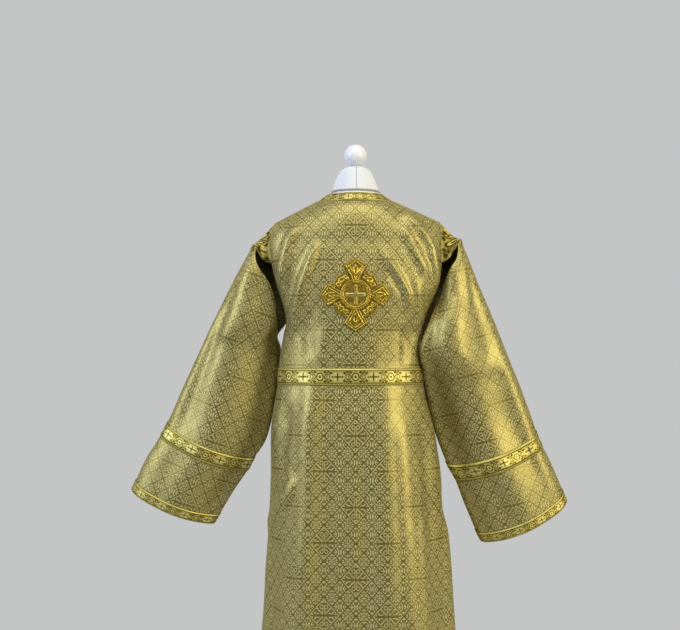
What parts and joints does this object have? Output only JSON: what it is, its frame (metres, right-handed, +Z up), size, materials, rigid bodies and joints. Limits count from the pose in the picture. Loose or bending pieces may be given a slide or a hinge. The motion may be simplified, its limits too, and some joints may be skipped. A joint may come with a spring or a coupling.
{
  "type": "sticharion on dress form",
  "caption": "Long wide-sleeved gold brocade church vestment with woven trims and a cross on its back, standing on a limbless dress form.",
  "frame": {"origin": "middle of the underside of the stand's round foot, on the floor", "axes": "+Z up, +Y the way the wearer faces, so the back with the cross faces -Y; +X to the wearer's right"},
  "size_m": [1.1366, 0.4311, 1.66],
  "materials": {
    "brocade": "satin",
    "galloon": "satin",
    "goldwork": "satin",
    "form_cloth": "matte",
    "knob_gloss": "gloss",
    "stand_steel": "satin"
  },
  "bodies": {
    "root": {"back_panel": "brocade", "front_panel": "brocade", "sleeve_left": "brocade", "sleeve_right": "brocade", "waist_galloon_back": "galloon", "waist_galloon_front": "galloon", "collar_galloon": "galloon", "sleeve_galloon_left": "galloon", "sleeve_galloon_right": "galloon", "cuff_galloon_left": "galloon", "cuff_galloon_right": "galloon", "armhole_galloon_left": "galloon", "armhole_galloon_right": "galloon", "cross_arm_up": "goldwork", "cross_arm_left": "goldwork", "cross_arm_down": "goldwork", "cross_arm_right": "goldwork", "cross_leaf_1": "goldwork", "cross_leaf_2": "goldwork", "cross_leaf_3": "goldwork", "cross_leaf_4": "goldwork", "cross_ring": "goldwork", "cross_disc": "goldwork", "form_torso": "form_cloth", "form_neck_cap": "form_cloth", "form_knob": "knob_gloss", "form_pole": "stand_steel", "form_socket": "stand_steel", "form_foot": "stand_steel"}
  },
  "joints": []
}
